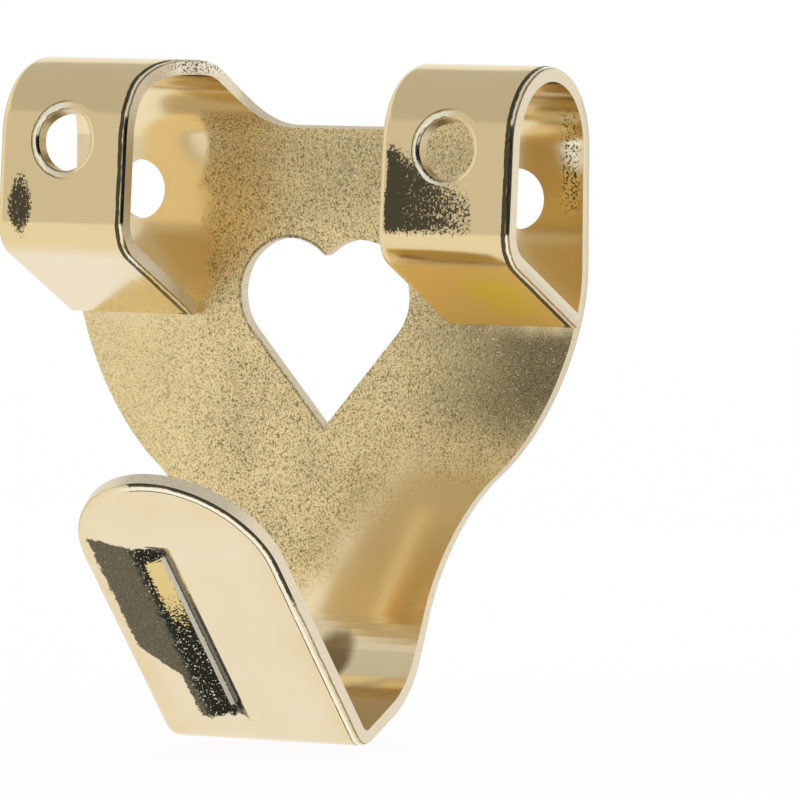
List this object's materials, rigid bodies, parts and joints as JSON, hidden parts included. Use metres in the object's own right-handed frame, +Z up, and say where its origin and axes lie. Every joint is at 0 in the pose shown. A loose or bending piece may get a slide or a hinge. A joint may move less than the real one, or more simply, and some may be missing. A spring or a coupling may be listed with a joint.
{
  "type": "picture hook",
  "caption": "Wall hook folded from one sheet, with slanted nail loops at the top, a heart-shaped opening and an upturned rounded lip.",
  "frame": {"origin": "on the wall face, midway between the two nail holes in the back plate", "axes": "+X across the hook towards its right as seen from the front, +Y into the wall, +Z up"},
  "size_m": [0.03, 0.0188, 0.0346],
  "materials": {
    "plating": "bright brass plating over pressed steel, finely grained on the back plate and polished on the bends"
  },
  "bodies": {
    "root": {"picture_hook": "plating"}
  },
  "joints": []
}
